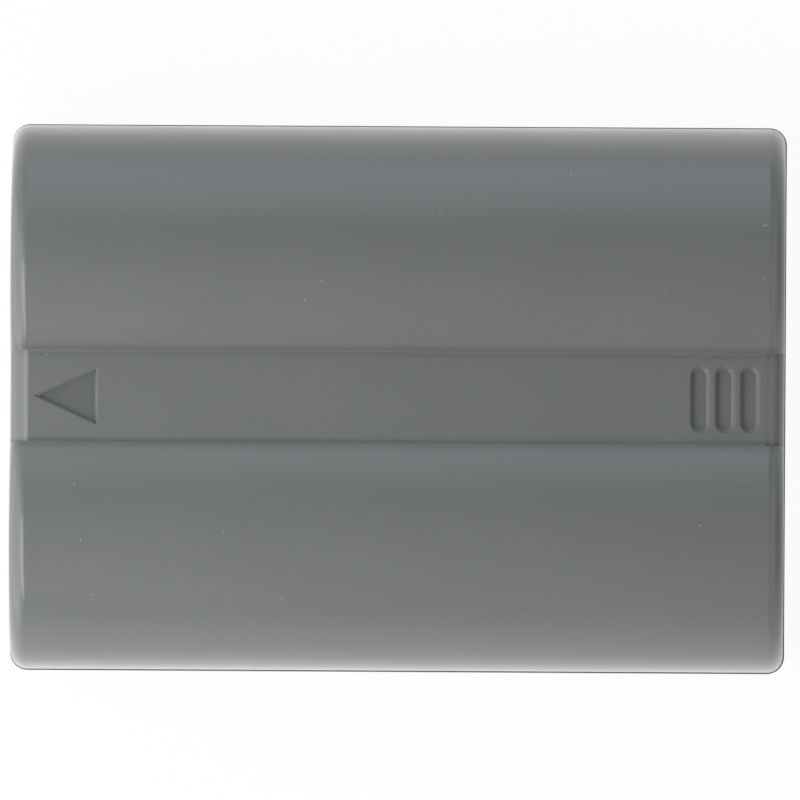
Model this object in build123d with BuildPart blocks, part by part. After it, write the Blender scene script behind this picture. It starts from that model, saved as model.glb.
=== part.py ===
from build123d import *
import os
from math import sqrt

# Rechargeable camera battery pack with two round cells, lying on its flat base.
# X runs along the pack, from the contact end (-X) to the finger-grip end (+X).
# Y runs across the two cells and Z is up from the base. Sizes are in millimetres.

# Cells
can_diameter = 18.0
can_length = 49.1
cap_diameter = 7.0
cap_height = 0.6
sleeve_thickness = 0.1
sleeve_fit = 0.025
sleeve_setback = 0.6
ring_thickness = 0.2
ring_margin = 0.5
cell_gap = 0.9

# Case walls and the room around the cells
wall = 0.8
floor_wall = 0.9
cell_clearance = 0.2
floor_gap = 0.9
contact_room = 3.5
grip_room = 1.0
end_radius = 1.15
base_radius = 1.0
inner_corner = 0.4

# Seam between the two case halves: a tongue on the upper one sits in a rebate of the lower one
seam_height = 9.0
seam_ledge = 0.1
tongue_thickness = 0.4
tongue_depth = 1.0
tongue_clearance = 0.05
seam_chamfer = 0.12
weld_root = 0.3

# Valley between the humps
valley_width = 6.64
valley_step = 0.28
valley_root = 2.0
valley_end_radius = 1.35
crease_radius = 0.22

# Insertion arrow and finger grooves sunk in the valley floor
arrow_length = 4.7
arrow_width = 4.3
arrow_inset = 1.65
arrow_depth = 0.35
arrow_draft = 15.0
groove_count = 3
groove_width = 1.48
groove_length = 4.88
groove_pitch = 1.79
groove_inset = 1.75
groove_depth = 0.45
groove_draft = 22.0
recess_rim = 0.07
recess_rim_angle = 45.0
recess_foot = 0.1

# Ribs that hold the cells apart and from below
spacer_count = 3
spacer_pitch = 16.0
spacer_thickness = 1.0
spacer_rise = 2.5
saddle_count = 3
saddle_pitch = 18.0
saddle_thickness = 1.0
saddle_height = 3.2
saddle_board_gap = 1.2

# Circuit board under the cells
board_width = 9.6
board_thickness = 0.8
board_lift = 0.7
board_end_gap = 5.0
board_front_gap = 0.2
post_width = 3.0
pin_diameter = 1.2
pin_clearance = 0.1
pin_rise = 0.5
front_pin_inset = 4.4
rear_pin_inset = 9.0

# Contact forks and the slots that lead to them
contact_count = 3
slot_pitch = 4.2
slot_width = 1.3
slot_height = 4.6
slot_margin = 0.2
slot_lead_in = 0.3
fork_thickness = 0.25
fork_width = 1.5
fork_depth = 2.4
fork_gap = 0.4
fork_recess = 0.15
fork_pinch_distance = 0.7
fork_flare = 0.12
tail_width = 0.9
tail_overlap = 1.2
holder_depth = 3.1
holder_wall = 0.8
fit_gap = 0.05

# Nickel strips
strip_thickness = 0.15
strip_pad = 4.6
strip_arm = 2.4
strip_leg = 1.6
strip_leg_offset = 2.1
strip_foot = 2.0
link_drop = 4.0
link_foot = 1.5

# Board insulator, tape and foam
insulator_thickness = 0.15
insulator_flange = 0.6
insulator_rise = 1.5
insulator_top = 5.6
insulator_front_inset = 6.3
insulator_rear_inset = 10.5
tape_fit = 0.025
tape_length = 30.0
tape_arc = 50.0
pad_width = 16.0
pad_height = 8.0
pad_gap = 0.05

# Parts on the board: body length along X, width along Y and height, then place along X
lead_thickness = 0.15
lead_width = 0.3
lead_reach = 0.9
chip_standoff = 0.1
protection_ic_size = (2.9, 1.6, 1.1)
protection_ic_x = -14.5
protection_ic_lead_count = 3
power_mosfet_size = (3.0, 4.4, 1.0)
power_mosfet_x = -9.5
power_mosfet_lead_count = 4
gauge_ic_size = (5.0, 4.4, 1.0)
gauge_ic_x = -3.0
gauge_ic_lead_count = 7
fuse_size = (3.2, 1.6, 0.6)
fuse_x = 2.8
resistor_size = (1.0, 0.5, 0.35)
resistor_pitch = 1.3
resistor_row_count = 4
capacitor_size = (1.6, 0.8, 0.8)
capacitor_pitch = 1.6
capacitor_count = 3
passives_x = 8.0
thermistor_x = 17.0
thermistor_diameter = 1.6
thermistor_height = 1.6
thermistor_lift = 3.4
thermistor_lead = 0.3
thermistor_lead_spread = 0.8

# Worked out from the sizes above
touch = 0.01
can_radius = can_diameter / 2
cell_radius = can_radius + sleeve_thickness
cell_span = can_length + cap_height
cell_y = cell_radius + cell_gap / 2
cell_z = floor_wall + floor_gap + cell_radius
cavity_radius = cell_radius + cell_clearance
hump_radius = cavity_radius + wall
case_height = cell_z + hump_radius
inner_half_width = cell_y + cavity_radius
upper_half_width = inner_half_width + wall
case_half_width = upper_half_width + seam_ledge
inner_half_length = (contact_room + cell_span + grip_room) / 2
upper_half_length = inner_half_length + wall
case_half_length = upper_half_length + seam_ledge
cell_front = contact_room - inner_half_length
cell_back = cell_front + cell_span
hump_drop = cell_y - valley_width / 2
valley_floor = cell_z + sqrt(hump_radius**2 - hump_drop**2) - valley_step
board_top = floor_wall + board_lift + board_thickness
contact_height = slot_height - 2 * slot_margin
slot_middle = board_top + contact_height / 2
holder_front = -inner_half_length
holder_back = holder_front + holder_depth
holder_top = board_top + contact_height + holder_wall
board_front = holder_back + board_front_gap
board_back = inner_half_length - board_end_gap
fork_front = holder_front + fork_recess
fork_back = fork_front + fork_depth
cell_axes = [(cell_y, cell_z), (-cell_y, cell_z)]


def centred_run(count, pitch):
    """Places of a row of evenly spaced copies about zero."""
    return [(index - (count - 1) / 2) * pitch for index in range(count)]


def write(piece, name):
    """Labels a finished piece and writes its file."""
    piece.part.label = name
    export_step(piece.part, f"parts/{name}.step")


# Upper case


def hump(centre_y):
    """One half-round hump over a cell, from the seam up, with its end rims rounded."""
    with BuildPart() as body:
        with BuildSketch(Plane.YZ.offset(-upper_half_length)):
            with BuildLine():
                near_y, far_y = centre_y - hump_radius, centre_y + hump_radius
                near_side = Line((near_y, seam_height), (near_y, cell_z))
                crown = ThreePointArc(near_side @ 1, (centre_y, case_height), (far_y, cell_z))
                far_side = Line(crown @ 1, (far_y, seam_height))
                Line(far_side @ 1, near_side @ 0)
            make_face()
        extrude(amount=2 * upper_half_length)
        end_edges = body.faces().filter_by(Axis.X).edges()
        fillet(end_edges.filter_by(lambda edge: edge.center().Z > seam_height + touch), end_radius)
    return body.part


def valley_slab():
    """The flat strip between the humps, rooted in both, with its ends rounded."""
    with BuildPart() as slab:
        with BuildSketch(Plane.XY.offset(seam_height)):
            Rectangle(2 * upper_half_length, valley_width + 2 * valley_root)
        extrude(amount=valley_floor - seam_height)
        fillet(slab.faces().sort_by(Axis.Z)[-1].edges().filter_by(Axis.Y), valley_end_radius)
    return slab.part


def recess(outline, depth, draft):
    """Cutter for a recess in the valley floor: broken rim, drafted wall and eased foot."""
    with BuildPart() as cutter:
        with BuildSketch(Plane.XY.offset(valley_floor)):
            add(outline)
        extrude(amount=-recess_rim, taper=recess_rim_angle)
        extrude(cutter.faces().sort_by(Axis.Z)[0], amount=depth - recess_rim, taper=draft)
        chamfer(cutter.faces().sort_by(Axis.Z)[0].edges(), recess_foot)
    return cutter.part


def groove_recess(index):
    """Cutter for one finger groove, counted from the grip end."""
    groove_x = upper_half_length - groove_inset - groove_width / 2 - index * groove_pitch
    with BuildSketch() as outline:
        with Locations((groove_x, 0)):
            SlotOverall(groove_length, groove_width, rotation=90)
    return recess(outline.sketch, groove_depth, groove_draft)


def arrow_recess():
    """Cutter for the arrow that points to the contact end."""
    arrow_tip = arrow_inset - upper_half_length
    arrow_tail = arrow_tip + arrow_length
    half_width = arrow_width / 2
    with BuildSketch() as outline:
        with BuildLine():
            Polyline((arrow_tip, 0), (arrow_tail, -half_width), (arrow_tail, half_width), close=True)
        make_face()
    return recess(outline.sketch, arrow_depth, arrow_draft)


left_hump, right_hump = hump(cell_y), hump(-cell_y)
valley = valley_slab()
recesses = [arrow_recess()] + [groove_recess(index) for index in range(groove_count)]

with BuildPart() as upper_case:
    add(left_hump)
    add(right_hump)
    with BuildSketch(Plane.XY.offset(seam_height)):
        Rectangle(2 * case_half_length, valley_width)
    extrude(amount=case_height - seam_height, mode=Mode.SUBTRACT)
    add(valley)

    # Soft crease where the valley floor meets each hump
    crease_length = 2 * (upper_half_length - valley_end_radius)
    for side in (1, -1):
        step_y = side * valley_width / 2
        with BuildSketch(Plane.YZ.offset(-crease_length / 2)):
            with BuildLine():
                foot = (step_y - side * crease_radius, valley_floor)
                head = (step_y, valley_floor + crease_radius)
                TangentArc(foot, head, tangent=(side, 0))
                Polyline(head, (step_y, valley_floor), foot)
            make_face()
        extrude(amount=crease_length)

    # Cavity that follows the humps at one wall thickness
    with BuildSketch(Plane.YZ.offset(-inner_half_length)):
        with Locations(*cell_axes):
            Circle(cavity_radius)
        with Locations((0, seam_height)):
            Rectangle(2 * inner_half_width, cell_z - seam_height, align=(Align.CENTER, Align.MIN))
            Rectangle(valley_width, valley_floor - wall - seam_height, align=(Align.CENTER, Align.MIN))
    extrude(amount=2 * inner_half_length, mode=Mode.SUBTRACT)

    # Spacer ribs that hang between the cells
    for rib_x in centred_run(spacer_count, spacer_pitch):
        with BuildSketch(Plane.YZ.offset(rib_x - spacer_thickness / 2)):
            with Locations((0, valley_floor - wall + weld_root)):
                spacer_depth = valley_floor - wall + weld_root - cell_z - spacer_rise
                Rectangle(valley_width, spacer_depth, align=(Align.CENTER, Align.MAX))
            with Locations(*cell_axes):
                Circle(cavity_radius, mode=Mode.SUBTRACT)
        extrude(amount=spacer_thickness)

    # Tongue that sits inside the lower case's lip
    with BuildSketch(Plane.XY.offset(seam_height - tongue_depth)):
        RectangleRounded(
            2 * (inner_half_length + tongue_thickness),
            2 * (inner_half_width + tongue_thickness),
            inner_corner + tongue_thickness,
        )
        RectangleRounded(2 * inner_half_length, 2 * inner_half_width, inner_corner, mode=Mode.SUBTRACT)
    extrude(amount=tongue_depth + weld_root)

    # Chamfer that leaves a fine line along the seam
    seam_face = upper_case.faces().filter_by(lambda face: abs(face.center().Z - seam_height) < touch)
    chamfer(seam_face.sort_by(SortBy.AREA)[-1].outer_wire().edges(), seam_chamfer)

    # Arrow and finger grooves
    for cutter in recesses:
        add(cutter, mode=Mode.SUBTRACT)


# Lower case

with BuildPart() as lower_case:
    with BuildSketch():
        RectangleRounded(2 * case_half_length, 2 * case_half_width, end_radius + seam_ledge)
    extrude(amount=seam_height)
    fillet(lower_case.faces().sort_by(Axis.Z)[0].edges(), base_radius)
    with BuildSketch(Plane.XY.offset(floor_wall)):
        RectangleRounded(2 * inner_half_length, 2 * inner_half_width, inner_corner)
    extrude(amount=seam_height, mode=Mode.SUBTRACT)

    # Rebate for the tongue
    rebate = tongue_thickness + tongue_clearance
    with BuildSketch(Plane.XY.offset(seam_height - tongue_depth - tongue_clearance)):
        RectangleRounded(
            2 * (inner_half_length + rebate), 2 * (inner_half_width + rebate), inner_corner + rebate
        )
    extrude(amount=seam_height, mode=Mode.SUBTRACT)

    # Saddles that cradle the cells, clear of the board
    saddle_inner = board_width / 2 + saddle_board_gap
    saddle_span = inner_half_width + weld_root - saddle_inner
    for rib_x in centred_run(saddle_count, saddle_pitch):
        with BuildSketch(Plane.YZ.offset(rib_x - saddle_thickness / 2)):
            for side in (1, -1):
                with Locations((side * (saddle_inner + saddle_span / 2), floor_wall - weld_root)):
                    Rectangle(saddle_span, saddle_height + weld_root, align=(Align.CENTER, Align.MIN))
            with Locations(*cell_axes):
                Circle(cavity_radius, mode=Mode.SUBTRACT)
        extrude(amount=saddle_thickness)

    # Posts and pins that carry the board
    pin_places = [(board_front + front_pin_inset, 0), (board_back - rear_pin_inset, 0)]
    with BuildSketch(Plane.XY.offset(floor_wall - weld_root)):
        with Locations(*pin_places):
            Rectangle(post_width, post_width)
    extrude(amount=board_lift + weld_root)
    with BuildSketch(Plane.XY.offset(floor_wall)):
        with Locations(*pin_places):
            Circle(pin_diameter / 2)
    extrude(amount=board_lift + board_thickness + pin_rise)

    # Contact slots in the end wall, with a lead-in for the camera's blades
    with BuildSketch(Plane.YZ.offset(-case_half_length)):
        for slot_y in centred_run(contact_count, slot_pitch):
            with Locations((slot_y, slot_middle)):
                Rectangle(slot_width, slot_height)
    extrude(amount=case_half_length - inner_half_length, mode=Mode.SUBTRACT)
    contact_face = lower_case.faces().filter_by(Axis.X).sort_by(Axis.X)[0]
    mouths = [edge for mouth in contact_face.inner_wires() for edge in mouth.edges()]
    chamfer(mouths, slot_lead_in)


# Contacts and their holder

with BuildPart() as terminal_holder:
    holder_width = (contact_count - 1) * slot_pitch + fork_width + 2 * (fit_gap + holder_wall)
    with BuildSketch(Plane.XY.offset(floor_wall)):
        with Locations((holder_front, 0)):
            Rectangle(holder_depth, holder_width, align=(Align.MIN, Align.CENTER))
    extrude(amount=holder_top - floor_wall)
    for slot_y in centred_run(contact_count, slot_pitch):
        with BuildSketch(Plane.XY.offset(board_top)):
            with Locations((holder_front, slot_y)):
                pocket_depth = fork_recess + fork_depth + fit_gap
                Rectangle(pocket_depth, fork_width + 2 * fit_gap, align=(Align.MIN, Align.CENTER))
        extrude(amount=contact_height + fit_gap, mode=Mode.SUBTRACT)
        with BuildSketch(Plane.XY.offset(board_top)):
            with Locations((holder_front, slot_y)):
                Rectangle(holder_depth, tail_width + 2 * fit_gap, align=(Align.MIN, Align.CENTER))
        extrude(amount=fork_thickness + fit_gap, mode=Mode.SUBTRACT)


def contact(centre_y):
    """A two-leaf fork that pinches a blade, with a tail that lies on the board."""
    wide = (fork_width - fork_thickness) / 2
    pinched = (fork_gap + fork_thickness) / 2
    pinch_x = fork_front + fork_pinch_distance
    bend_x = fork_back - fork_thickness / 2
    with BuildPart() as fork:
        with BuildSketch(Plane.XY.offset(board_top)):
            with BuildLine():
                Polyline(
                    (fork_front, centre_y + pinched + fork_flare),
                    (pinch_x, centre_y + pinched),
                    (bend_x, centre_y + wide),
                    (bend_x, centre_y - wide),
                    (pinch_x, centre_y - pinched),
                    (fork_front, centre_y - pinched - fork_flare),
                )
            trace(line_width=fork_thickness)
        extrude(amount=contact_height)
        with BuildSketch(Plane.XY.offset(board_top)):
            with Locations((fork_back - fork_thickness, centre_y)):
                tail_length = board_front + tail_overlap - fork_back + fork_thickness
                Rectangle(tail_length, tail_width, align=(Align.MIN, Align.CENTER))
        extrude(amount=fork_thickness)
    return fork


contact_positive, contact_data, contact_negative = (
    contact(place) for place in reversed(centred_run(contact_count, slot_pitch))
)


# Cells, laid head to tail


def from_front(distance):
    """X of a point at a distance from the positive face of the cell that faces the contacts."""
    return cell_front + distance


def from_back(distance):
    """X of a point at a distance from the positive face of the cell that faces the grip end."""
    return cell_back - distance


def cell_can(centre_y, along):
    """A sealed steel cell: raised positive cap, shoulder and flat bottom."""
    with BuildPart() as can:
        with BuildSketch(Plane.XZ.offset(-centre_y)):
            with BuildLine():
                Polyline(
                    (along(0), cell_z),
                    (along(0), cell_z + cap_diameter / 2),
                    (along(cap_height), cell_z + cap_diameter / 2),
                    (along(cap_height), cell_z + can_radius),
                    (along(cell_span), cell_z + can_radius),
                    (along(cell_span), cell_z),
                    close=True,
                )
            make_face()
        revolve(axis=Axis((0, centre_y, cell_z), (1, 0, 0)))
    return can


def cell_sleeve(centre_y, along):
    """Shrink sleeve round the can, from its shoulder to just short of its flat bottom."""
    sleeve_start = along(cap_height)
    sleeve_end = along(cell_span - sleeve_setback)
    with BuildPart() as sleeve:
        with BuildSketch(Plane.YZ.offset(min(sleeve_start, sleeve_end))):
            with Locations((centre_y, cell_z)):
                Circle(cell_radius)
                Circle(can_radius + sleeve_fit, mode=Mode.SUBTRACT)
        extrude(amount=abs(sleeve_end - sleeve_start))
    return sleeve


def cell_ring(centre_y, along):
    """Insulating washer that lies on the can's shoulder, round the positive cap."""
    inner_radius = cap_diameter / 2 + ring_margin
    outer_radius = can_radius - ring_margin
    with BuildPart() as ring:
        with BuildSketch(Plane.XZ.offset(-centre_y)):
            with BuildLine():
                Polyline(
                    (along(cap_height), cell_z + inner_radius),
                    (along(cap_height), cell_z + outer_radius),
                    (along(cap_height - ring_thickness), cell_z + outer_radius),
                    (along(cap_height - ring_thickness), cell_z + inner_radius),
                    close=True,
                )
            make_face()
        revolve(axis=Axis((0, centre_y, cell_z), (1, 0, 0)))
    return ring


def cell_tape(centre_y):
    """Curved strip of tape between the top of a cell and the hump."""
    with BuildPart() as tape:
        with BuildSketch(Plane.YZ.offset(-tape_length / 2)):
            with BuildLine():
                tape_radius = cell_radius + cell_clearance / 2
                CenterArc((centre_y, cell_z), tape_radius, 90 - tape_arc / 2, tape_arc)
            trace(line_width=cell_clearance - 2 * tape_fit)
        extrude(amount=tape_length)
    return tape


cell_a, cell_b = cell_can(cell_y, from_front), cell_can(-cell_y, from_back)
sleeve_a, sleeve_b = cell_sleeve(cell_y, from_front), cell_sleeve(-cell_y, from_back)
ring_a, ring_b = cell_ring(cell_y, from_front), cell_ring(-cell_y, from_back)
tape_a, tape_b = cell_tape(cell_y), cell_tape(-cell_y)


# Nickel strips


def end_strip(side):
    """Strip from a cell's terminal at the contact end down to the board."""
    arm_bottom = cell_z - strip_pad / 2
    arm_length = cell_y - strip_leg_offset + strip_leg / 2
    with BuildPart() as strip:
        with BuildSketch(Plane.YZ.offset(cell_front - strip_thickness)):
            with Locations((side * cell_y, cell_z)):
                Rectangle(strip_pad, strip_pad)
            with Locations((side * (cell_y - arm_length / 2), arm_bottom)):
                Rectangle(arm_length, strip_arm, align=(Align.CENTER, Align.MIN))
            with Locations((side * strip_leg_offset, board_top)):
                Rectangle(strip_leg, arm_bottom - board_top, align=(Align.CENTER, Align.MIN))
        extrude(amount=strip_thickness)
        with BuildSketch(Plane.XY.offset(board_top)):
            with Locations((cell_front - strip_thickness, side * strip_leg_offset)):
                Rectangle(strip_thickness + strip_foot, strip_leg, align=(Align.MIN, Align.CENTER))
        extrude(amount=strip_thickness)
    return strip


positive_strip, negative_strip = end_strip(1), end_strip(-1)

with BuildPart() as series_link:
    with BuildSketch(Plane.YZ.offset(cell_back)):
        with Locations((0, cell_z)):
            Rectangle(2 * cell_y + strip_pad, strip_pad)
        with Locations((0, board_top)):
            Rectangle(link_drop, cell_z - board_top, align=(Align.CENTER, Align.MIN))
    extrude(amount=strip_thickness)
    with BuildSketch(Plane.XY.offset(board_top)):
        with Locations((cell_back + strip_thickness, 0)):
            foot_length = cell_back + strip_thickness - board_back + link_foot
            Rectangle(foot_length, link_drop, align=(Align.MAX, Align.CENTER))
    extrude(amount=strip_thickness)


# Circuit board and what is on it

with BuildPart() as circuit_board:
    with BuildSketch(Plane.XY.offset(board_top - board_thickness)):
        with Locations((board_front, 0)):
            Rectangle(board_back - board_front, board_width, align=(Align.MIN, Align.CENTER))
        with Locations(*pin_places):
            Circle(pin_diameter / 2 + pin_clearance, mode=Mode.SUBTRACT)
    extrude(amount=board_thickness)


def leaded_chip(centre_x, size, leads_per_side):
    """A moulded chip package on two rows of bent leads."""
    length, width, height = size
    lead_pitch = length / leads_per_side
    lead_z = board_top + chip_standoff + height / 2
    foot_z = board_top + lead_thickness / 2
    with BuildPart() as chip:
        with BuildSketch(Plane.XY.offset(board_top + chip_standoff)):
            with Locations((centre_x, 0)):
                Rectangle(length, width)
        extrude(amount=height)
        for lead_x in centred_run(leads_per_side, lead_pitch):
            with BuildSketch(Plane.YZ.offset(centre_x + lead_x - lead_width / 2)):
                for side in (1, -1):
                    with BuildLine():
                        Polyline(
                            (side * (width / 2 - lead_thickness), lead_z),
                            (side * (width / 2 + lead_reach / 3), lead_z),
                            (side * (width / 2 + lead_reach / 2), foot_z),
                            (side * (width / 2 + lead_reach), foot_z),
                        )
                    trace(line_width=lead_thickness)
            extrude(amount=lead_width)
    return chip


protection_ic = leaded_chip(protection_ic_x, protection_ic_size, protection_ic_lead_count)
power_mosfet = leaded_chip(power_mosfet_x, power_mosfet_size, power_mosfet_lead_count)
gauge_ic = leaded_chip(gauge_ic_x, gauge_ic_size, gauge_ic_lead_count)


def chip_row(centre_x, size, places):
    """Small square-ended parts that lie on the board, as a group of separate solids."""
    length, width, height = size
    with BuildPart() as chips:
        with BuildSketch(Plane.XY.offset(board_top)):
            with Locations(*[(centre_x + place_x, place_y) for place_x, place_y in places]):
                Rectangle(length, width)
        extrude(amount=height)
    return chips


chip_fuse = chip_row(fuse_x, fuse_size, [(0, 0)])
capacitor_places = [(0, place_y) for place_y in centred_run(capacitor_count, capacitor_pitch)]
chip_capacitors = chip_row(passives_x, capacitor_size, capacitor_places)
resistor_offset = (capacitor_size[0] + resistor_size[0]) / 2 + resistor_size[1]
resistor_rows_y = centred_run(resistor_row_count, resistor_pitch)
resistor_places = [(side * resistor_offset, place_y) for side in (1, -1) for place_y in resistor_rows_y]
chip_resistors = chip_row(passives_x, resistor_size, resistor_places)

with BuildPart() as thermistor:
    with BuildSketch(Plane.XY.offset(board_top)):
        with Locations(*[(thermistor_x, side * thermistor_lead_spread / 2) for side in (1, -1)]):
            Rectangle(thermistor_lead, thermistor_lead)
    extrude(amount=thermistor_lift)
    with BuildSketch(Plane.XY.offset(board_top + thermistor_lift)):
        with Locations((thermistor_x, 0)):
            Circle(thermistor_diameter / 2)
    extrude(amount=thermistor_height)

with BuildPart() as board_insulator:
    flange_z = board_top + insulator_thickness / 2
    insulator_front = board_front + insulator_front_inset
    insulator_back = board_back - insulator_rear_inset
    with BuildSketch(Plane.YZ.offset(insulator_front)):
        with BuildLine():
            Polyline(
                (-board_width / 2, flange_z),
                (insulator_flange - board_width / 2, flange_z),
                (-insulator_top / 2, flange_z + insulator_rise),
                (insulator_top / 2, flange_z + insulator_rise),
                (board_width / 2 - insulator_flange, flange_z),
                (board_width / 2, flange_z),
            )
        trace(line_width=insulator_thickness)
    extrude(amount=insulator_back - insulator_front)

with BuildPart() as end_pad:
    pad_front = cell_back + strip_thickness + pad_gap
    with BuildSketch(Plane.YZ.offset(pad_front)):
        with Locations((0, cell_z)):
            Rectangle(pad_width, pad_height)
    extrude(amount=inner_half_length - pad_front)


os.makedirs("parts", exist_ok=True)
write(upper_case, "upper_case")
write(lower_case, "lower_case")
write(terminal_holder, "terminal_holder")
write(contact_positive, "contact_positive")
write(contact_data, "contact_data")
write(contact_negative, "contact_negative")
write(cell_a, "cell_a")
write(cell_b, "cell_b")
write(sleeve_a, "sleeve_a")
write(sleeve_b, "sleeve_b")
write(ring_a, "ring_a")
write(ring_b, "ring_b")
write(tape_a, "tape_a")
write(tape_b, "tape_b")
write(positive_strip, "positive_strip")
write(negative_strip, "negative_strip")
write(series_link, "series_link")
write(circuit_board, "circuit_board")
write(protection_ic, "protection_ic")
write(power_mosfet, "power_mosfet")
write(gauge_ic, "gauge_ic")
write(chip_fuse, "chip_fuse")
write(chip_resistors, "chip_resistors")
write(chip_capacitors, "chip_capacitors")
write(thermistor, "thermistor")
write(board_insulator, "board_insulator")
write(end_pad, "end_pad")
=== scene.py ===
"""Finishes, dust and studio for a rechargeable camera battery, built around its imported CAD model."""

import math
import random

import bmesh
import bpy
from bpy.props import FloatProperty, FloatVectorProperty, PointerProperty
from mathutils import Matrix, Vector


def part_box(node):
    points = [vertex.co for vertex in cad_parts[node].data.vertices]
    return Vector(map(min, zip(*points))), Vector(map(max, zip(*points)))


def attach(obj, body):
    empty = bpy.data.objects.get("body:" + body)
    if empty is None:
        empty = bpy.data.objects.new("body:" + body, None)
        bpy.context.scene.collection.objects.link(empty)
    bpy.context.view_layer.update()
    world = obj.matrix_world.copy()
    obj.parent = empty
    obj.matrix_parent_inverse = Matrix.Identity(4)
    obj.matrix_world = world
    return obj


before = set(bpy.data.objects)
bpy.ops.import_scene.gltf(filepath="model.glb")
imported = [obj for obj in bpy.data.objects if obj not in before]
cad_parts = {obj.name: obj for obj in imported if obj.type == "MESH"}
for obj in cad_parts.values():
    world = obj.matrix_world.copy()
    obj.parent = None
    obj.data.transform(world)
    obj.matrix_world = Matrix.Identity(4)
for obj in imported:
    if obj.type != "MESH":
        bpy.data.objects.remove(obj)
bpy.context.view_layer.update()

bl_info = {
    "name": "Camera Battery Looks",
    "version": (1, 0, 0),
    "blender": (4, 5, 0),
    "location": "3D View > Sidebar > Battery",
    "description": "Finishes a packed camera battery, dusts it and sets it in a plain studio",
    "category": "Object",
}

MM = 0.001
BODY = "root"

# The photograph: its frame, the middle of the battery in it, its scale and how far it is turned
PHOTO_PIXELS = 800
PHOTO_MIDDLE = (398.7, 399.25)
PIXELS_PER_MM = 13.81
PHOTO_TURN = math.radians(0.33)

# Foot of the upper case, the height at which the photograph's scale holds
UPPER_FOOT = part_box("upper_case")[0].z

# The lens: sensor width in mm, and nearest and farthest sight as parts of the camera's distance
SENSOR_WIDTH = 36.0
SIGHT_NEAR, SIGHT_FAR = 0.1, 10

# Flecks and the scratch: pixel of the photograph, length and width in mm, and turn of the length in degrees
PALE_FLECKS = (
    (440.0, 212.5, 0.13, 0.09, 80), (80.5, 539.5, 0.15, 0.11, 40), (570.8, 174.0, 0.16, 0.10, 75),
    (750.5, 160.0, 0.13, 0.08, 5), (304.5, 300.5, 0.12, 0.10, 30), (282.0, 598.5, 0.12, 0.08, 85),
    (74.5, 484.0, 0.12, 0.08, 10), (699.5, 525.5, 0.12, 0.10, 50), (92.7, 594.7, 0.12, 0.09, 135),
    (321.5, 281.0, 0.14, 0.08, 70), (744.0, 482.5, 0.11, 0.07, 90), (527.8, 615.8, 0.14, 0.08, 45),
    (445.5, 249.0, 0.10, 0.07, 0), (665.5, 291.0, 0.10, 0.06, 0), (708.5, 487.0, 0.10, 0.06, 15),
    (48.0, 337.5, 0.10, 0.06, 90), (223.0, 531.5, 0.18, 0.04, 90), (763.4, 278.8, 0.22, 0.05, 20),
    (764.9, 225.5, 0.48, 0.06, 28), (46.5, 354.3, 0.11, 0.08, 100), (39.4, 395.2, 0.12, 0.09, 90),
)
DARK_SPECKS = (
    (473.5, 174.5, 0.14, 0.12, 0), (568.4, 578.8, 0.16, 0.06, 15), (564.3, 576.3, 0.09, 0.07, 60),
    (581.5, 311.0, 0.18, 0.04, 0),
)

# A fleck: corners of its rim, least and greatest reach of a corner as a part of its half size,
# and its rise as a part of its width
FLECK_CORNERS = 7
FLECK_REACH = (0.75, 1.0)
FLECK_RISE = 0.15

# Painted shade along the creases and on the arrow's floor thins out with the way from its middle,
# in which each axis counts by its weight. On the arrow the painted shade is full up to the first reach
# and gone at the second.
CREASE_PAINTED_SHADE_WEIGHT = (0, 1, 1)
ARROW_PAINTED_SHADE_WEIGHT = (1, 1, 15)
ARROW_PAINTED_SHADE_REACH = (3.0 * MM, 4.2 * MM)

# Noise of the finishes: its detail and roughness, and the part of the clouds' range that the gloss follows
CLOUD_DETAIL, CLOUD_ROUGHNESS = 3.0, 0.55
CLOUD_LOW, CLOUD_HIGH = 0.3, 0.7
GRAIN_DETAIL, GRAIN_ROUGHNESS = 2.0, 0.6

# How far the pale bloom reaches in from the rims
SHEEN_SPREAD = 0.35

# Full weight in the shading of an edge, at which the largest face beside it counts before all others
FLAT_FACE_WEIGHT = 100

# Sockets of a Mix node for colours
MIX_SHARE, MIX_A, MIX_B, MIX_RESULT = 0, 6, 7, 2

# The table: width of its dapple, shade of the darker patches, and its place a hair under the base,
# so that the two don't flicker
FLOOR_GRAIN = 2.0 * MM
FLOOR_SHADE = 0.98
FLOOR_GAP = 0.02 * MM
FLOOR_CORNERS = ((-1, -1), (1, -1), (1, 1), (-1, 1))

# Light of the room: tilt from straight up in degrees, level and tint, first from -Y to +Y, then from -X to +X
COOL, PLAIN, WARM = "#EAF1FF", "#FFFFFF", "#FFF2E4"
ACROSS = (
    (-90, 1.07, PLAIN), (-70, 0.39, PLAIN), (-50, 0.34, WARM), (-32, 0.17, WARM), (-16, 0.15, WARM),
    (-5, 0.0, PLAIN), (26, 0.0, PLAIN), (40, 0.42, COOL), (54, 1.60, COOL), (70, 1.85, COOL),
    (90, 2.20, COOL),
)
ALONG = (
    (-90, 0.0, PLAIN), (-65, 0.1, PLAIN), (-45, 0.9, WARM), (-34, 1.0, PLAIN), (-26, 1.0, PLAIN),
    (-18, 0.40, PLAIN), (18, 0.0, PLAIN), (35, 0.98, PLAIN), (60, 0.40, PLAIN), (90, 0.0, PLAIN),
)
HORIZON = 90

# Degrees along X over which the first light gives way to the second, and the level of a full ramp
MIDDLE_BAND = 18
BRIGHTEST = 4.0


def linear(hex_colour):
    """Linear colour of an sRGB hex value."""
    levels = [int(hex_colour[place:place + 2], 16) / 255 for place in (1, 3, 5)]
    return tuple(v / 12.92 if v <= 0.04045 else ((v + 0.055) / 1.055) ** 2.4 for v in levels)


def per_metre(size):
    """Texture scale at which one cell of the pattern is as wide as a real size in metres."""
    return 1.0 / size


def colour_property(name, description, hex_colour):
    """A colour that the user can change, with its sRGB hex value as the default."""
    return FloatVectorProperty(
        name=name, description=description, subtype="COLOR", size=3, min=0, max=1, default=linear(hex_colour)
    )


def length_property(name, description, millimetres):
    """A length that the user can change, with its default in millimetres."""
    return FloatProperty(
        name=name, description=description, subtype="DISTANCE", unit="LENGTH", min=0, default=millimetres * MM
    )


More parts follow.
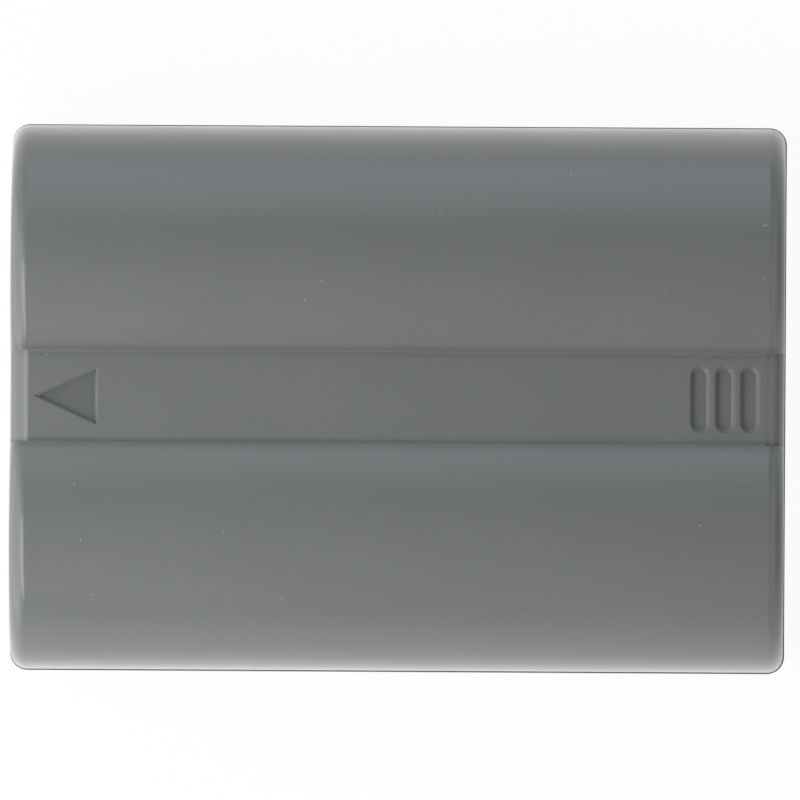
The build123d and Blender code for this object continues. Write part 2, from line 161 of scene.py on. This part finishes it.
def angle_property(name, description, degrees):
    """An angle that the user can change, with its default in degrees."""
    return FloatProperty(name=name, description=description, subtype="ANGLE", default=math.radians(degrees))


def factor_property(name, description, factor):
    """A share from 0 to 1 that the user can change."""
    return FloatProperty(name=name, description=description, subtype="FACTOR", min=0, max=1, default=factor)


class BatteryCaseSettings(bpy.types.PropertyGroup):
    """Finish of the two case mouldings, with the painted shade in their creases and sunk arrow."""

    grey: colour_property("Case grey", "Colour of the moulded case", "#6F7372")
    shade: factor_property("Cloud shade", "How dark the clouds go, against the case grey", 0.95)
    cloud_size: length_property("Cloud size", "Width of the faint clouds in the plastic", 9.0)
    grain_size: length_property("Grain size", "Width of one pip of the moulded grain", 0.16)
    grain_depth: length_property("Grain depth", "Height of the moulded grain", 0.0016)
    roughness: factor_property("Roughness", "Mean roughness of the satin surface", 0.25)
    sheen: factor_property("Sheen", "Pale bloom at the rims, from fine dust on the satin", 0.7)
    # Painted shade: darker grey painted where the creases and the arrow's recess fall into shade
    crease_painted_shade_place: length_property("Crease place", "From the valley's middle to the dirt in each crease", 3.38)
    crease_painted_shade_height: length_property("Crease height", "From the base to the dirt in the creases", 18.88)
    crease_painted_shade_reach: length_property("Crease reach", "From the middle of that dirt to clean plastic", 0.72)
    crease_painted_shade_level: factor_property("Crease shade", "How dark the dirt in the creases is", 0.78)
    arrow_painted_shade_place: length_property("Arrow place", "From the middle of the battery to that of the arrow", 23.5)
    arrow_painted_shade_height: length_property("Arrow height", "From the base to the floor of the arrow", 18.22)
    arrow_painted_shade_level: factor_property("Arrow shade", "How dark the dirt in the arrow is", 0.8)


class BatteryInsideSettings(bpy.types.PropertyGroup):
    """Colours of what the case holds."""

    nylon: colour_property("Contact block", "Colour of the moulded contact block", "#1D1E20")
    gold: colour_property("Contact plating", "Colour of the plated contact forks", "#E3B866")
    steel: colour_property("Cell can", "Colour of the plated steel cans", "#CFCDC7")
    sleeve: colour_property("Cell sleeve", "Colour of the shrink film", "#2F6F93")
    fibre: colour_property("Washer", "Colour of the fibre washers", "#93978F")
    tape: colour_property("Tape", "Colour of the polyimide tape", "#B9792A")
    nickel: colour_property("Nickel strip", "Colour of the welded strips", "#D4CFC4")
    mask: colour_property("Solder mask", "Colour of the board", "#1F5F3A")
    epoxy: colour_property("Chip epoxy", "Colour of the moulded chips", "#262626")
    ceramic: colour_property("Chip ceramic", "Colour of the small ceramic parts", "#9C8468")
    resin: colour_property("Sensor resin", "Colour of the dipped temperature sensor", "#232328")
    film: colour_property("Insulator film", "Colour of the folded film over the board", "#C4C3BB")
    foam: colour_property("Foam", "Colour of the end pad", "#303030")


class BatteryWearSettings(bpy.types.PropertyGroup):
    """Dust on the humps and the valley."""

    dust: colour_property("Dust", "Colour of the pale flecks", "#B9BCBA")
    soot: colour_property("Dark specks", "Colour of the dark specks", "#3F4241")


class BatteryStageSettings(bpy.types.PropertyGroup):
    """Floor and camera."""

    distance: length_property("Camera distance", "From the battery to the lens", 2000.0)
    lean_x: angle_property("Lean along X", "Camera's lean towards the grip end", 0.6)
    lean_y: angle_property("Lean along Y", "Camera's lean towards -Y", 0.6)
    floor_size: length_property("Floor size", "Side of the white table", 12000.0)
    floor: colour_property("Table", "Colour of the white table", "#F6F6F5")
    floor_glow: factor_property("Table white", "How far the table is burnt out to white", 0.94)


class BatteryPanelSettings(bpy.types.PropertyGroup):
    """The upright lamp at the contact end."""

    reach: length_property("Reach", "From the middle of the battery along -X", 120.0)
    aside: length_property("Aside", "From the middle of the battery along -Y", 70.0)
    height: length_property("Height", "Of the middle of the lamp", 95.0)
    width: length_property("Width", "Of the lamp, from its foot to its top", 190.0)
    length: length_property("Length", "Of the lamp, along Y", 260.0)
    tilt: angle_property("Tilt", "From facing straight down", 90)
    level: FloatProperty(name="Level", description="Brightness of the lamp's face", min=0, default=1.45)


class BatteryStripSettings(bpy.types.PropertyGroup):
    """The narrow lamp high over the contact end, whose reflection is the fine bright line along that end."""

    reach: length_property("Reach", "From the middle of the battery along -X", 91.0)
    aside: length_property("Aside", "From the middle of the battery along -Y", 142.0)
    height: length_property("Height", "Of the middle of the lamp", 190.0)
    width: length_property("Width", "Of the lamp, across its length", 42.0)
    length: length_property("Length", "Of the lamp, along Y", 315.0)
    tilt: angle_property("Tilt", "From facing straight down", 20)
    level: FloatProperty(name="Level", description="Brightness of the lamp's face", min=0, default=6.4)


def add_node(tree, kind, settings=None, inputs=None, links=None):
    """Adds a node, sets its settings and sockets, and links its inputs to other nodes' outputs."""
    node = tree.nodes.new(kind)
    for name, value in (settings or {}).items():
        setattr(node, name, value)
    for socket, value in (inputs or {}).items():
        node.inputs[socket].default_value = value
    for socket, source in (links or {}).items():
        tree.links.new(source, node.inputs[socket])
    return node


def new_material(name):
    """An empty node material and its tree."""
    material = bpy.data.materials.new(name)
    material.use_nodes = True
    material.node_tree.nodes.clear()
    return material, material.node_tree


def rgba(colour):
    """A colour with full cover."""
    return (*colour, 1.0)


def close_surface(tree, shader):
    """Puts a shader on the material's output."""
    add_node(tree, "ShaderNodeOutputMaterial", links={"Surface": shader.outputs[0]})


def dress(material, *names):
    """Gives CAD nodes a finish."""
    for name in names:
        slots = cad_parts[name].data.materials
        slots.clear()
        slots.append(material)


def smooth_modifiers(*names):
    """Shades the rounded edges of CAD nodes softly and keeps their flat faces flat."""
    for name in names:
        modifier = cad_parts[name].modifiers.new("flat_faces", "WEIGHTED_NORMAL")
        modifier.mode = "FACE_AREA"
        modifier.weight = FLAT_FACE_WEIGHT
        modifier.keep_sharp = True


def add_painted_shade(tree, place, colour, middle, weight, reach, shade):
    """Paints shade on a colour: fully up to the first reach from its middle, not past the second."""
    for operation, value in (("SUBTRACT", middle), ("MULTIPLY", weight)):
        place = add_node(
            tree, "ShaderNodeVectorMath", settings={"operation": operation},
            inputs={1: value}, links={0: place},
        ).outputs[0]
    away = add_node(tree, "ShaderNodeVectorMath", settings={"operation": "LENGTH"}, links={0: place})
    unshaded = add_node(
        tree, "ShaderNodeMapRange", settings={"interpolation_type": "SMOOTHSTEP"},
        inputs={"From Min": reach[0], "From Max": reach[1], "To Min": shade, "To Max": 1.0},
        links={"Value": away.outputs["Value"]},
    )
    return add_node(
        tree, "ShaderNodeVectorMath", settings={"operation": "SCALE"},
        links={0: colour, "Scale": unshaded.outputs["Result"]},
    ).outputs[0]


def valley_painted_shade(tree, place, colour, settings):
    """Painted shade along the creases on both sides of the valley, and on the floor of the sunk arrow."""
    both_sides = add_node(tree, "ShaderNodeVectorMath", settings={"operation": "ABSOLUTE"}, links={0: place})
    crease = (0, settings.crease_painted_shade_place, settings.crease_painted_shade_height)
    creased = add_painted_shade(
        tree, both_sides.outputs[0], colour, crease, CREASE_PAINTED_SHADE_WEIGHT,
        (0, settings.crease_painted_shade_reach), settings.crease_painted_shade_level,
    )
    arrow = (-settings.arrow_painted_shade_place, 0, settings.arrow_painted_shade_height)
    return add_painted_shade(tree, place, creased, arrow, ARROW_PAINTED_SHADE_WEIGHT, ARROW_PAINTED_SHADE_REACH, settings.arrow_painted_shade_level)


def surface(
    name, colour, shade, cloud, grain, depth, roughness, spread,
    stretch=(1, 1, 1), metallic=0.0, coat=0.0, sheen=0.0, painted_shade_settings=None,
):
    """A finish with faint clouds of a darker shade and of gloss, and a fine grain.

    Stretch draws out both, and painted_shade_settings sets the shade painted into the valley."""
    material, tree = new_material(name)
    place = add_node(tree, "ShaderNodeTexCoord")
    drawn = add_node(
        tree, "ShaderNodeMapping", inputs={"Scale": stretch}, links={"Vector": place.outputs["Object"]}
    )
    clouds = add_node(
        tree, "ShaderNodeTexNoise",
        inputs={"Scale": per_metre(cloud), "Detail": CLOUD_DETAIL, "Roughness": CLOUD_ROUGHNESS},
        links={"Vector": drawn.outputs["Vector"]},
    )
    tone = add_node(
        tree, "ShaderNodeMix", settings={"data_type": "RGBA"},
        inputs={MIX_A: rgba([level * shade for level in colour]), MIX_B: rgba(colour)},
        links={MIX_SHARE: clouds.outputs["Fac"]},
    )
    gloss = add_node(
        tree, "ShaderNodeMapRange",
        inputs={
            "From Min": CLOUD_LOW, "From Max": CLOUD_HIGH,
            "To Min": roughness - spread, "To Max": roughness + spread,
        },
        links={"Value": clouds.outputs["Fac"]},
    )
    pips = add_node(
        tree, "ShaderNodeTexNoise",
        inputs={"Scale": per_metre(grain), "Detail": GRAIN_DETAIL, "Roughness": GRAIN_ROUGHNESS},
        links={"Vector": drawn.outputs["Vector"]},
    )
    relief = add_node(
        tree, "ShaderNodeBump", inputs={"Strength": 1.0, "Distance": depth},
        links={"Height": pips.outputs["Fac"]},
    )
    paint = tone.outputs[MIX_RESULT]
    if painted_shade_settings:
        paint = valley_painted_shade(tree, place.outputs["Object"], paint, painted_shade_settings)
    shader = add_node(
        tree, "ShaderNodeBsdfPrincipled",
        inputs={
            "Metallic": metallic, "Coat Weight": coat,
            "Sheen Weight": sheen, "Sheen Roughness": SHEEN_SPREAD,
        },
        links={"Base Color": paint, "Roughness": gloss.outputs["Result"], "Normal": relief.outputs["Normal"]},
    )
    close_surface(tree, shader)
    return material


class BATTERY_OT_case(bpy.types.Operator):
    """Finishes the upper and the lower case as satin moulded plastic, with painted shade in its creases"""

    bl_idname = "battery.case"
    bl_label = "Finish Case"

    def execute(self, context):
        look = context.scene.battery_case
        # Moulded in a finely eroded tool: a satin grey whose gloss spreads wide, just broken up by its grain
        # Painted shade darkens the grey where the creases and the sunk arrow fall into shade
        satin_abs = surface(
            "moulded_satin_abs", look.grey, shade=look.shade, cloud=look.cloud_size, grain=look.grain_size,
            depth=look.grain_depth, roughness=look.roughness, spread=0.02, sheen=look.sheen, painted_shade_settings=look,
        )
        dress(satin_abs, "upper_case", "lower_case")
        smooth_modifiers("upper_case", "lower_case")
        return {"FINISHED"}


class BATTERY_OT_contacts(bpy.types.Operator):
    """Finishes the contact block and the three forks behind the slots"""

    bl_idname = "battery.contacts"
    bl_label = "Finish Contacts"

    def execute(self, context):
        look = context.scene.battery_inside
        # Glass-filled nylon: a dull black with a cloudy skin where the fibres lie near the surface
        nylon = surface(
            "moulded_black_nylon", look.nylon, shade=0.75, cloud=1.5 * MM, grain=0.12 * MM, depth=0.002 * MM,
            roughness=0.5, spread=0.06,
        )
        dress(nylon, "terminal_holder")
        # Thin gold over rolled bronze: warm and bright, with fine draw lines along the fork
        gold = surface(
            "gold_plated_bronze", look.gold, shade=0.9, cloud=2.0 * MM, grain=0.05 * MM, depth=0.0006 * MM,
            roughness=0.22, spread=0.05, stretch=(0.1, 1, 1), metallic=1.0,
        )
        dress(gold, "contact_positive", "contact_data", "contact_negative")
        return {"FINISHED"}


class BATTERY_OT_cells(bpy.types.Operator):
    """Finishes the two cells with their sleeves, washers and tapes"""

    bl_idname = "battery.cells"
    bl_label = "Finish Cells"

    def execute(self, context):
        look = context.scene.battery_inside
        # Plated before drawing: a pale metal with faint lines along the can
        steel = surface(
            "nickel_plated_steel", look.steel, shade=0.88, cloud=2.5 * MM, grain=0.06 * MM, depth=0.0008 * MM,
            roughness=0.28, spread=0.05, stretch=(0.12, 1, 1), metallic=1.0,
        )
        dress(steel, "cell_a", "cell_b")
        # Shrunk tight with hot air: glossy, a little wavy
        film = surface(
            "heat_shrunk_pvc", look.sleeve, shade=0.92, cloud=6.0 * MM, grain=1.2 * MM, depth=0.01 * MM,
            roughness=0.24, spread=0.04, coat=0.2,
        )
        dress(film, "sleeve_a", "sleeve_b")
        # Pressed paper fibre: dry and mottled
        fibre = surface(
            "pressed_fibre", look.fibre, shade=0.8, cloud=0.6 * MM, grain=0.1 * MM, depth=0.004 * MM,
            roughness=0.8, spread=0.05,
        )
        dress(fibre, "ring_a", "ring_b")
        # Polyimide film on its adhesive: a clear amber gloss
        amber = surface(
            "polyimide_tape", look.tape, shade=0.82, cloud=3.0 * MM, grain=0.5 * MM, depth=0.003 * MM,
            roughness=0.2, spread=0.04, coat=0.4,
        )
        dress(amber, "tape_a", "tape_b")
        return {"FINISHED"}


class BATTERY_OT_strips(bpy.types.Operator):
    """Finishes the welded strips that join the cells to the board"""

    bl_idname = "battery.strips"
    bl_label = "Finish Strips"

    def execute(self, context):
        look = context.scene.battery_inside
        # Rolled thin: a soft warm metal with the marks of the rolls along it
        nickel = surface(
            "rolled_nickel", look.nickel, shade=0.9, cloud=2.0 * MM, grain=0.08 * MM, depth=0.001 * MM,
            roughness=0.32, spread=0.06, stretch=(1, 0.12, 1), metallic=1.0,
        )
        dress(nickel, "positive_strip", "negative_strip", "series_link")
        return {"FINISHED"}


class BATTERY_OT_board(bpy.types.Operator):
    """Finishes the protection board and the parts on it"""

    bl_idname = "battery.board"
    bl_label = "Finish Board"

    def execute(self, context):
        look = context.scene.battery_inside
        # Solder mask over glass weave: glossy green with a faint unevenness from the weave under it
        mask = surface(
            "green_solder_mask", look.mask, shade=0.8, cloud=1.2 * MM, grain=0.4 * MM, depth=0.002 * MM,
            roughness=0.3, spread=0.04, coat=0.3,
        )
        dress(mask, "circuit_board")
        # Filled epoxy: a dead black with a fine sandy skin
        epoxy = surface(
            "moulded_epoxy", look.epoxy, shade=0.8, cloud=0.5 * MM, grain=0.05 * MM, depth=0.002 * MM,
            roughness=0.6, spread=0.05,
        )
        dress(epoxy, "protection_ic", "power_mosfet", "gauge_ic")
        # Fired ceramic: smooth, with a dry edge to its gloss
        ceramic = surface(
            "fired_ceramic", look.ceramic, shade=0.85, cloud=0.4 * MM, grain=0.04 * MM, depth=0.001 * MM,
            roughness=0.4, spread=0.05,
        )
        dress(ceramic, "chip_fuse", "chip_resistors", "chip_capacitors")
        # Dipped and hung to cure: a wet gloss
        resin = surface(
            "dipped_resin", look.resin, shade=0.85, cloud=1.0 * MM, grain=0.3 * MM, depth=0.002 * MM,
            roughness=0.15, spread=0.03,
        )
        dress(resin, "thermistor")
        return {"FINISHED"}


class BATTERY_OT_packing(bpy.types.Operator):
    """Finishes the film over the board and the foam at the grip end"""

    bl_idname = "battery.packing"
    bl_label = "Finish Packing"

    def execute(self, context):
        look = context.scene.battery_inside
        # Folded polyester: milky, with a soft gloss
        film = surface(
            "folded_polyester", look.film, shade=0.93, cloud=4.0 * MM, grain=0.3 * MM, depth=0.002 * MM,
            roughness=0.4, spread=0.05,
        )
        dress(film, "board_insulator")
        # Closed-cell foam: dull and pitted all over
        foam = surface(
            "closed_cell_foam", look.foam, shade=0.6, cloud=0.8 * MM, grain=0.25 * MM, depth=0.06 * MM,
            roughness=0.85, spread=0.04,
        )
        dress(foam, "end_pad")
        return {"FINISHED"}


def photo_axes(settings):
    """Right, up and back of the photograph's lens, which leans a little to the grip end and to -Y."""
    back = Vector((math.tan(settings.lean_x), -math.tan(settings.lean_y), 1.0)).normalized()
    level = Matrix.Rotation(PHOTO_TURN, 3, "Z") @ Vector((1, 0, 0))
    up = back.cross(level).normalized()
    return up.cross(back).normalized(), up, back


def photo_place(settings, pixel_x, pixel_y):
    """Point that a pixel of the photograph shows, square to the lens at the upper case's foot."""
    right, up, _ = photo_axes(settings)
    across = (pixel_x - PHOTO_MIDDLE[0]) / PIXELS_PER_MM * MM
    down = (pixel_y - PHOTO_MIDDLE[1]) / PIXELS_PER_MM * MM
    return Vector((0, 0, UPPER_FOOT)) + right * across - up * down


def lens_place(settings):
    """Where the lens is, over the middle of the picture."""
    middle = PHOTO_PIXELS / 2
    return photo_place(settings, middle, middle) + photo_axes(settings)[2] * settings.distance


def on_case(settings, pixel):
    """Where a pixel of the photograph lies on the upper case, and the way that the surface faces there."""
    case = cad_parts["upper_case"]
    to_case = case.matrix_world.inverted()
    lens = lens_place(settings)
    sight = photo_place(settings, *pixel) - lens
    hit, spot, normal, _ = case.ray_cast(to_case @ lens, to_case.to_3x3() @ sight.normalized())
    if not hit:
        raise RuntimeError("a fleck lies beside the case")
    return case.matrix_world @ spot, (case.matrix_world.to_3x3() @ normal).normalized()


def add_fleck(shape, place, length, width, turn, rng):
    """A flat crumb on the case, with an uneven rim."""
    spot, normal = place
    side = normal.cross(Vector((math.cos(turn), math.sin(turn), 0))).normalized()
    along = side.cross(normal).normalized()
    rim = []
    for step in range(FLECK_CORNERS):
        angle = 2 * math.pi * step / FLECK_CORNERS
        reach = rng.uniform(*FLECK_REACH) / 2
        rim.append(shape.verts.new(
            spot + along * math.cos(angle) * length * reach + side * math.sin(angle) * width * reach
        ))
    peak = shape.verts.new(spot + normal * width * FLECK_RISE)
    for first, second in zip(rim, rim[1:] + rim[:1]):
        shape.faces.new((first, second, peak))


def fleck_piece(settings, name, flecks, material):
    """One mesh with all the flecks of a kind, lying on the case."""
    rng = random.Random(name)
    shape = bmesh.new()
    for pixel_x, pixel_y, length, width, turn in flecks:
        place = on_case(settings, (pixel_x, pixel_y))
        add_fleck(shape, place, length * MM, width * MM, math.radians(turn), rng)
    bmesh.ops.recalc_face_normals(shape, faces=shape.faces)
    mesh = bpy.data.meshes.new(name)
    shape.to_mesh(mesh)
    shape.free()
    mesh.materials.append(material)
    piece = bpy.data.objects.new(name, mesh)
    bpy.context.scene.collection.objects.link(piece)
    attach(piece, BODY)


class BATTERY_OT_dust(bpy.types.Operator):
    """Lays the pale lint, the dark grit and the scratch that the photograph shows on the case"""

    bl_idname = "battery.dust"
    bl_label = "Lay Dust"

    def execute(self, context):
        look = context.scene.battery_wear
        # Cotton and skin dust: dry, pale and uneven
        lint = surface(
            "pale_lint", look.dust, shade=0.8, cloud=0.1 * MM, grain=0.03 * MM, depth=0.004 * MM,
            roughness=0.9, spread=0.05,
        )
        fleck_piece(context.scene.battery_stage, "pale_flecks", PALE_FLECKS, lint)
        # Grit: dull and dark
        grit = surface(
            "dark_grit", look.soot, shade=0.7, cloud=0.1 * MM, grain=0.03 * MM, depth=0.004 * MM,
            roughness=0.8, spread=0.05,
        )
        fleck_piece(context.scene.battery_stage, "dark_specks", DARK_SPECKS, grit)
        return {"FINISHED"}


def fill_ramp(ramp, stops):
    """Puts levels of light, as parts of the brightest, on a ramp that runs from horizon to horizon."""
    while len(ramp.elements) < len(stops):
        ramp.elements.new(0.5)
    for element, (degrees, level, tint) in zip(ramp.elements, stops):
        element.position = (degrees + HORIZON) / (2 * HORIZON)
        element.color = rgba([part * level / BRIGHTEST for part in linear(tint)])


def studio_world(scene):
    """A soft room: bright low down on both sides, half-way up at both ends, dark overhead, white below."""
    world = bpy.data.worlds.new("studio_room")
    world.use_nodes = True
    world.node_tree.nodes.clear()
    tree = world.node_tree
    place = add_node(tree, "ShaderNodeTexCoord")
    way = add_node(tree, "ShaderNodeSeparateXYZ", links={"Vector": place.outputs["Generated"]})
    tilt = add_node(
        tree, "ShaderNodeMath", settings={"operation": "ARCTAN2"},
        links={0: way.outputs["Y"], 1: way.outputs["Z"]},
    )
    swing = add_node(tree, "ShaderNodeMath", settings={"operation": "ARCSINE"}, links={0: way.outputs["X"]})
    lights = []
    for angle, stops in ((tilt, ACROSS), (swing, ALONG)):
        part = add_node(
            tree, "ShaderNodeMapRange",
            inputs={"From Min": -math.pi / 2, "From Max": math.pi / 2}, links={"Value": angle.outputs[0]},
        )
        light = add_node(tree, "ShaderNodeValToRGB", links={"Fac": part.outputs["Result"]})
        fill_ramp(light.color_ramp, stops)
        lights.append(light.outputs["Color"])
    aside = add_node(tree, "ShaderNodeMath", settings={"operation": "ABSOLUTE"}, links={0: swing.outputs[0]})
    end_on = add_node(
        tree, "ShaderNodeMapRange",
        inputs={"From Min": 0.0, "From Max": math.radians(MIDDLE_BAND)}, links={"Value": aside.outputs[0]},
    )
    both = add_node(
        tree, "ShaderNodeMix", settings={"data_type": "RGBA"},
        links={MIX_SHARE: end_on.outputs["Result"], MIX_A: lights[0], MIX_B: lights[1]},
    )
    under = add_node(
        tree, "ShaderNodeMath", settings={"operation": "LESS_THAN"},
        inputs={1: 0.0}, links={0: way.outputs["Z"]},
    )
    whole = add_node(
        tree, "ShaderNodeMix", settings={"data_type": "RGBA"}, inputs={MIX_B: rgba([1 / BRIGHTEST] * 3)},
        links={MIX_SHARE: under.outputs[0], MIX_A: both.outputs[MIX_RESULT]},
    )
    room = add_node(
        tree, "ShaderNodeBackground", inputs={"Strength": BRIGHTEST},
        links={"Color": whole.outputs[MIX_RESULT]},
    )
    add_node(tree, "ShaderNodeOutputWorld", links={"Surface": room.outputs[0]})
    scene.world = world


def softbox(scene, name, settings):
    """A soft lamp on the contact end's side, nearer to -Y, which faces over to the battery."""
    data = bpy.data.lights.new(name, "AREA")
    data.shape = "RECTANGLE"
    data.size = settings.width
    data.size_y = settings.length
    data.energy = settings.level * math.pi * settings.width * settings.length
    lamp = bpy.data.objects.new(name, data)
    scene.collection.objects.link(lamp)
    lamp.location = (-settings.reach, -settings.aside, settings.height)
    lamp.rotation_euler = (0, -settings.tilt, 0)
    lamp.visible_camera = False


def table_material(settings):
    """Matt white laminate that is burnt out to the lens and keeps a faint shadow."""
    material, tree = new_material("white_laminate_table")
    place = add_node(tree, "ShaderNodeTexCoord")
    dapple = add_node(
        tree, "ShaderNodeTexNoise", inputs={"Scale": per_metre(FLOOR_GRAIN)},
        links={"Vector": place.outputs["Object"]},
    )
    paint = add_node(
        tree, "ShaderNodeMix", settings={"data_type": "RGBA"},
        inputs={MIX_A: rgba([level * FLOOR_SHADE for level in settings.floor]), MIX_B: rgba(settings.floor)},
        links={MIX_SHARE: dapple.outputs["Fac"]},
    )
    matt = add_node(tree, "ShaderNodeBsdfDiffuse", links={"Color": paint.outputs[MIX_RESULT]})
    bright = add_node(tree, "ShaderNodeEmission", inputs={"Color": (1, 1, 1, 1), "Strength": 1.0})
    ray = add_node(tree, "ShaderNodeLightPath")
    mirrored = add_node(
        tree, "ShaderNodeMath", settings={"operation": "MAXIMUM"},
        links={0: ray.outputs["Is Glossy Ray"], 1: ray.outputs["Is Transmission Ray"]},
    )
    share = add_node(
        tree, "ShaderNodeMapRange", inputs={"To Max": settings.floor_glow},
        links={"Value": ray.outputs["Is Camera Ray"]},
    )
    seen = add_node(
        tree, "ShaderNodeMath", settings={"operation": "MAXIMUM"},
        links={0: share.outputs["Result"], 1: mirrored.outputs[0]},
    )
    white = add_node(
        tree, "ShaderNodeMixShader", links={0: seen.outputs[0], 1: matt.outputs[0], 2: bright.outputs[0]}
    )
    # From below the table is clear, so that the base can be looked at
    facing = add_node(tree, "ShaderNodeNewGeometry")
    clear = add_node(tree, "ShaderNodeBsdfTransparent")
    table = add_node(
        tree, "ShaderNodeMixShader",
        links={0: facing.outputs["Backfacing"], 1: white.outputs[0], 2: clear.outputs[0]},
    )
    close_surface(tree, table)
    return material


def table_floor(settings):
    """The white table that the battery lies on."""
    mesh = bpy.data.meshes.new("white_table")
    half = settings.floor_size / 2
    shape = bmesh.new()
    shape.faces.new([shape.verts.new((x * half, y * half, -FLOOR_GAP)) for x, y in FLOOR_CORNERS])
    shape.to_mesh(mesh)
    shape.free()
    mesh.materials.append(table_material(settings))
    floor = bpy.data.objects.new("white_table", mesh)
    bpy.context.scene.collection.objects.link(floor)


def photo_camera(scene, settings):
    """A long lens over the battery, framed as the photograph is."""
    data = bpy.data.cameras.new("photo_camera")
    camera = bpy.data.objects.new("photo_camera", data)
    scene.collection.objects.link(camera)
    across = PHOTO_PIXELS / PIXELS_PER_MM * MM
    data.sensor_width = SENSOR_WIDTH
    data.lens = data.sensor_width * settings.distance / across
    look = Matrix(photo_axes(settings)).transposed()
    camera.matrix_world = Matrix.Translation(lens_place(settings)) @ look.to_4x4()
    data.clip_start = settings.distance * SIGHT_NEAR
    data.clip_end = settings.distance * SIGHT_FAR
    scene.camera = camera


class BATTERY_OT_stage(bpy.types.Operator):
    """Sets the white table, the light and the camera"""

    bl_idname = "battery.stage"
    bl_label = "Set Stage"

    def execute(self, context):
        scene = context.scene
        scene.view_settings.view_transform = "Standard"
        studio_world(scene)
        softbox(scene, "contact_end_panel", scene.battery_panel)
        softbox(scene, "contact_end_strip", scene.battery_strip)
        table_floor(scene.battery_stage)
        photo_camera(scene, scene.battery_stage)
        return {"FINISHED"}


class BATTERY_PT_looks(bpy.types.Panel):
    """Lists what dresses the battery"""

    bl_idname = "BATTERY_PT_looks"
    bl_label = "Battery Looks"
    bl_space_type = "VIEW_3D"
    bl_region_type = "UI"
    bl_category = "Battery"

    def draw(self, context):
        column = self.layout.column(align=True)
        for operator in OPERATORS:
            column.operator(operator.bl_idname)


SETTINGS = {
    "battery_case": BatteryCaseSettings,
    "battery_inside": BatteryInsideSettings,
    "battery_wear": BatteryWearSettings,
    "battery_stage": BatteryStageSettings,
    "battery_panel": BatteryPanelSettings,
    "battery_strip": BatteryStripSettings,
}
OPERATORS = (
    BATTERY_OT_case,
    BATTERY_OT_contacts,
    BATTERY_OT_cells,
    BATTERY_OT_strips,
    BATTERY_OT_board,
    BATTERY_OT_packing,
    BATTERY_OT_dust,
    BATTERY_OT_stage,
)


def register():
    """Registers the settings, the operators and the panel."""
    for name, group in SETTINGS.items():
        bpy.utils.register_class(group)
        setattr(bpy.types.Scene, name, PointerProperty(type=group))
    for operator in OPERATORS:
        bpy.utils.register_class(operator)
    bpy.utils.register_class(BATTERY_PT_looks)


def unregister():
    """Takes out what register put in."""
    bpy.utils.unregister_class(BATTERY_PT_looks)
    for operator in reversed(OPERATORS):
        bpy.utils.unregister_class(operator)
    for name, group in SETTINGS.items():
        delattr(bpy.types.Scene, name)
        bpy.utils.unregister_class(group)


def main():
    """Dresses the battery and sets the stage."""
    register()
    bpy.ops.battery.case()
    bpy.ops.battery.contacts()
    bpy.ops.battery.cells()
    bpy.ops.battery.strips()
    bpy.ops.battery.board()
    bpy.ops.battery.packing()
    bpy.ops.battery.dust()
    bpy.ops.battery.stage()


if __name__ == "__main__":
    main()
